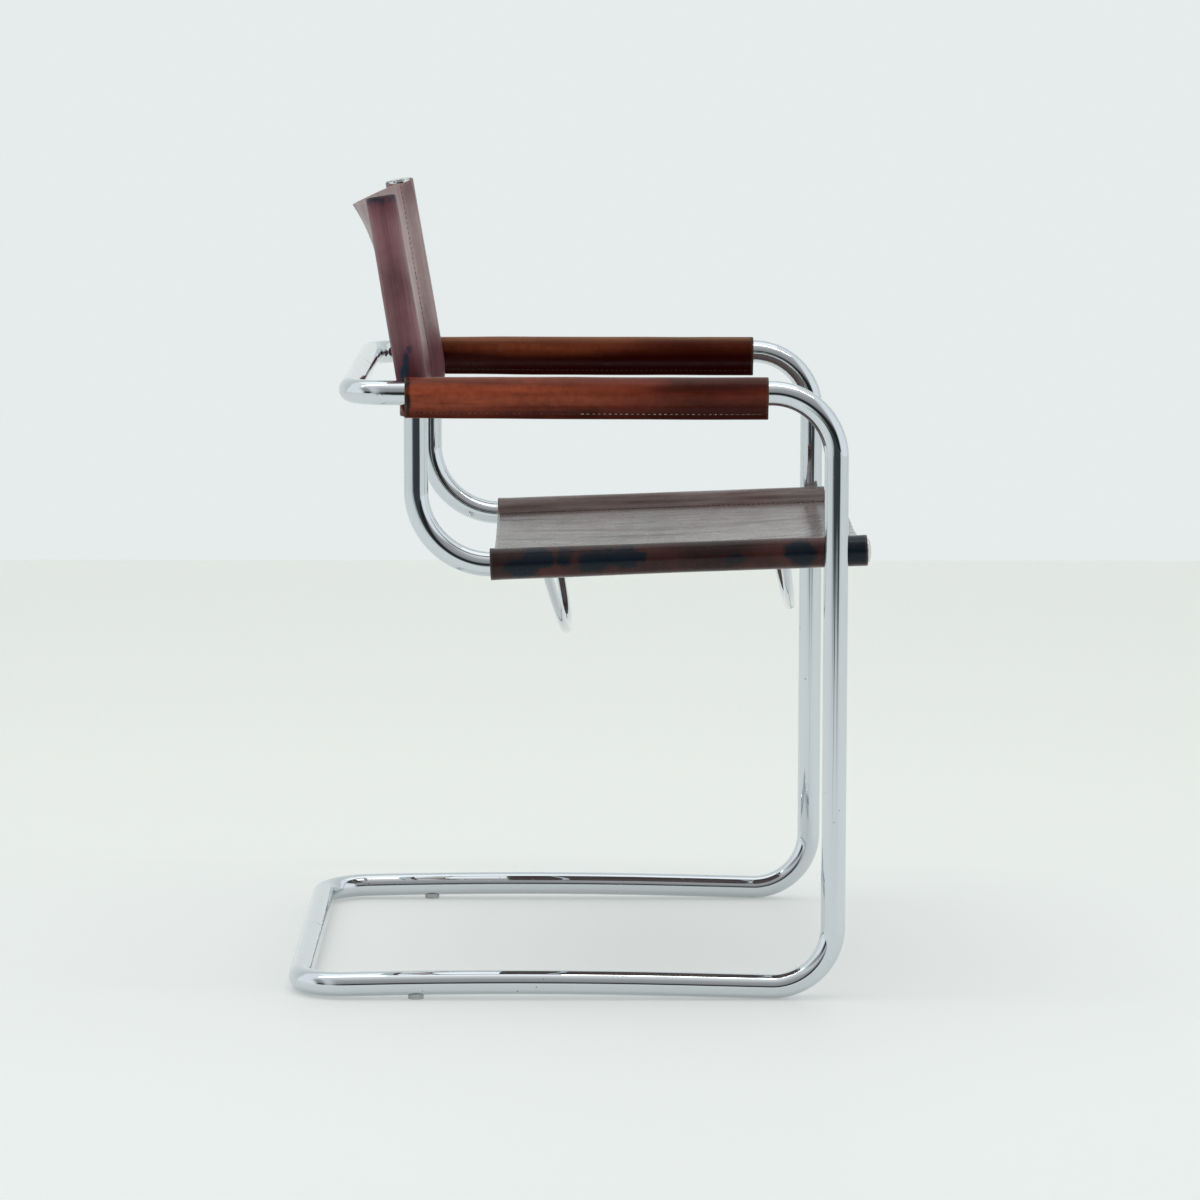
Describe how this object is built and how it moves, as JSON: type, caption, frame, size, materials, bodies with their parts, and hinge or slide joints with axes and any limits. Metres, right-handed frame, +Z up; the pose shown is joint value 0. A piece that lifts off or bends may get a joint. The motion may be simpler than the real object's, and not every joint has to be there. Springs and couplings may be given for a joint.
{
  "type": "cantilever lounge chair",
  "caption": "Low-backed cantilever armchair of bent chromed steel tube, with a leather sling seat and back and stitched leather armrest covers",
  "frame": {"origin": "On the floor, under the middle of the chair's bounding box in X and Y", "axes": "+Z up, the front of the chair faces -Y, +X is the sitter's left"},
  "size_m": [0.5574, 0.598, 0.8196],
  "materials": {
    "tube_chrome": "mirror-bright chromium plating with a few small pits",
    "cap_chrome": "chromium plating, slightly dulled and scuffed",
    "plain_steel": "zinc-plated, satin",
    "seat_leather": "thick saddle leather, dark red-brown, waxed and worn to a soft sheen",
    "armrest_leather": "thick saddle leather, chestnut brown with a lighter worn top",
    "seam_thread": "waxed linen thread, dark brown",
    "glide_plastic": "grey nylon, matt"
  },
  "bodies": {
    "root": {"frame_half_left": "tube_chrome", "frame_half_right": "tube_chrome", "floor_bar_spigot": "plain_steel", "back_bar_spigot": "plain_steel", "side_rail_left": "tube_chrome", "side_rail_right": "tube_chrome", "rear_bow": "tube_chrome", "front_bow": "tube_chrome", "seat_rail_caps": "cap_chrome", "upright_caps": "cap_chrome", "joint_screws": "plain_steel", "joint_washers": "plain_steel", "joint_spacers": "tube_chrome", "joint_inserts": "plain_steel", "floor_glides": "glide_plastic", "glide_screws": "plain_steel", "seat_sling": "seat_leather", "back_sling": "seat_leather", "armrest_cover_left": "armrest_leather", "armrest_cover_right": "armrest_leather", "seat_seam_threads": "seam_thread", "back_seam_threads": "seam_thread", "armrest_seam_threads": "seam_thread"}
  },
  "joints": []
}
